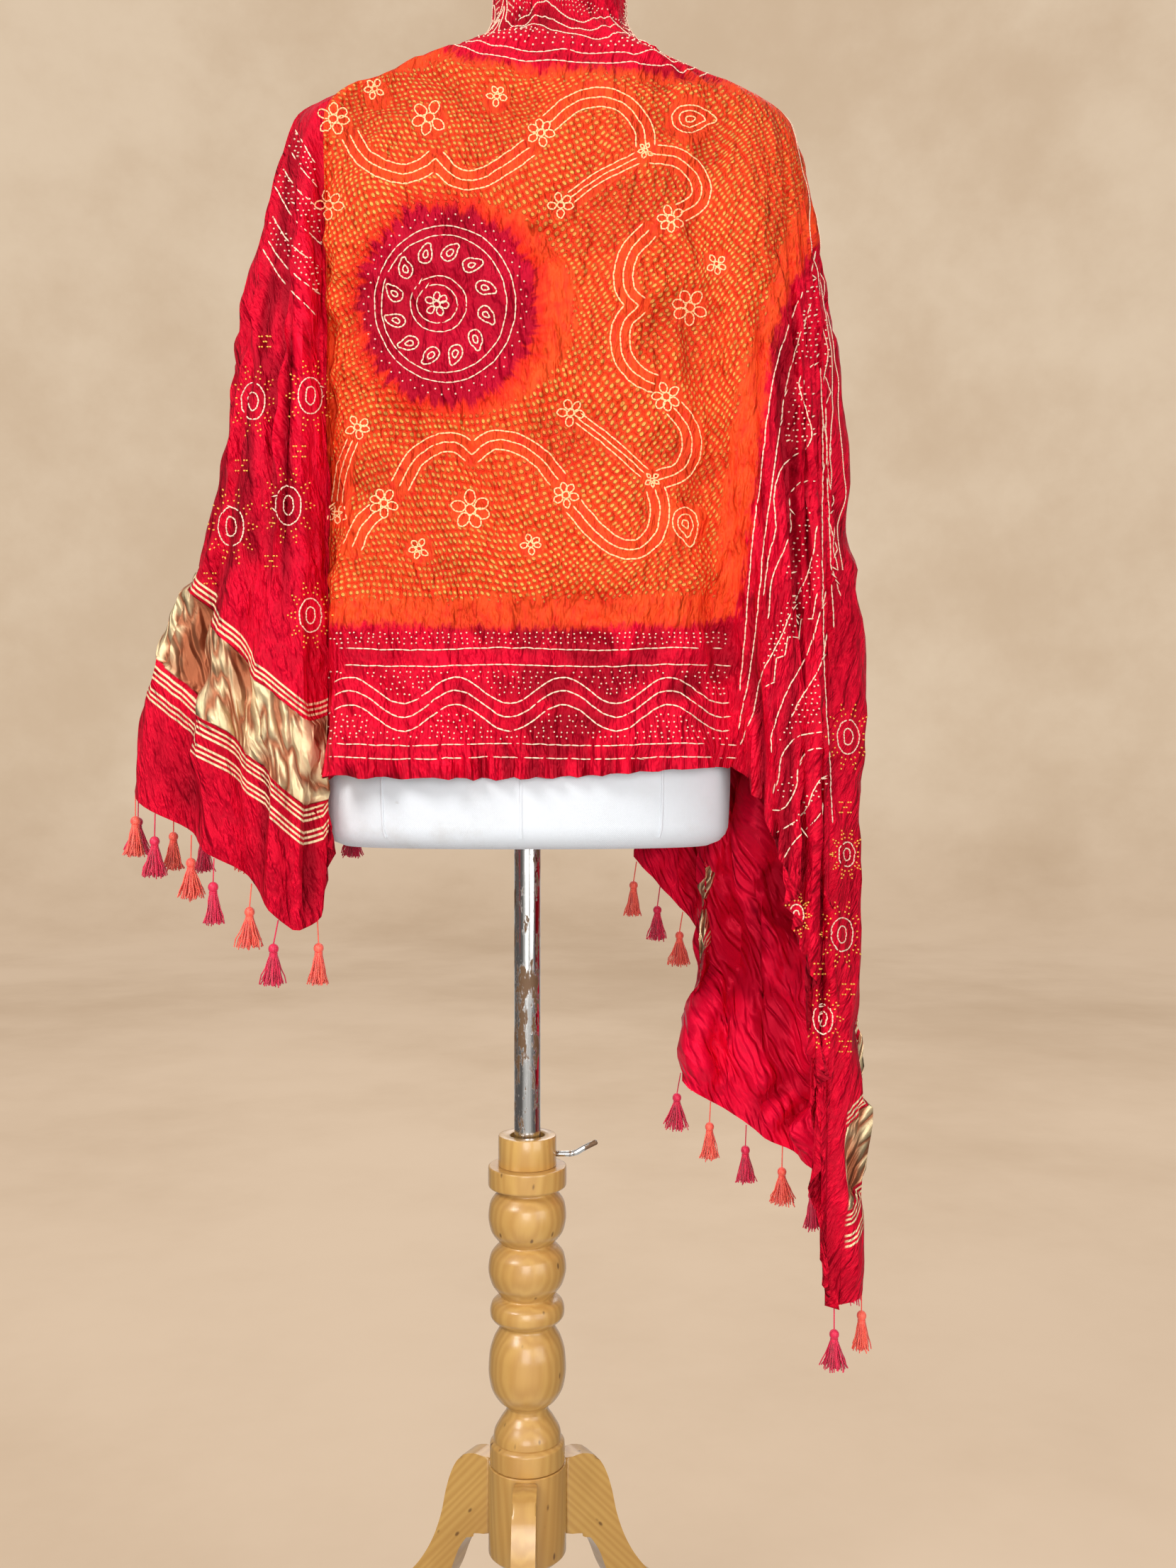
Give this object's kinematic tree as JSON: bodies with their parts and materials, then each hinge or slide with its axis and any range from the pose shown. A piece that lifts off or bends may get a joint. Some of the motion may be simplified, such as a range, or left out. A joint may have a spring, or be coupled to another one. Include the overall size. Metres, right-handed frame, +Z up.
{
  "type": "bandhani dupatta on a dress form stand",
  "caption": "Tie-dyed silk dupatta with tasselled ends, draped as a shawl over a padded dress form on a chrome pole and a turned wooden tripod.",
  "frame": {"origin": "on the floor, under the middle of the whole part's box", "axes": "+Z up; -Y is the back of the dress form, where the dyed centre square shows; +X is to the right as seen from there"},
  "size_m": [0.6756, 0.4422, 1.6],
  "materials": {
    "silk": "soft satin",
    "form_cover": "matt woven",
    "pole": "worn plating",
    "wood": "satin varnish",
    "crimson_thread": "soft silk thread",
    "coral_thread": "soft silk thread"
  },
  "bodies": {
    "root": {"bandhani_cloth": "silk", "dress_form": "form_cover", "pole": "pole", "lock_screw": "pole", "collar": "wood", "column": "wood", "hub": "wood", "leg_front": "wood", "leg_left": "wood", "leg_right": "wood", "tassel_left_01": "crimson_thread", "tassel_left_02": "coral_thread", "tassel_left_03": "crimson_thread", "tassel_left_04": "coral_thread", "tassel_left_05": "crimson_thread", "tassel_left_06": "coral_thread", "tassel_left_07": "crimson_thread", "tassel_left_08": "coral_thread", "tassel_left_09": "crimson_thread", "tassel_left_10": "coral_thread", "tassel_left_11": "crimson_thread", "tassel_left_12": "coral_thread", "tassel_left_13": "crimson_thread", "tassel_left_14": "coral_thread", "tassel_left_15": "crimson_thread", "tassel_left_16": "coral_thread", "tassel_right_01": "crimson_thread", "tassel_right_02": "coral_thread", "tassel_right_03": "crimson_thread", "tassel_right_04": "coral_thread", "tassel_right_05": "crimson_thread", "tassel_right_06": "coral_thread", "tassel_right_07": "crimson_thread", "tassel_right_08": "coral_thread", "tassel_right_09": "crimson_thread", "tassel_right_10": "coral_thread", "tassel_right_11": "crimson_thread", "tassel_right_12": "coral_thread", "tassel_right_13": "crimson_thread", "tassel_right_14": "coral_thread", "tassel_right_15": "crimson_thread", "tassel_right_16": "coral_thread"}
  },
  "joints": []
}
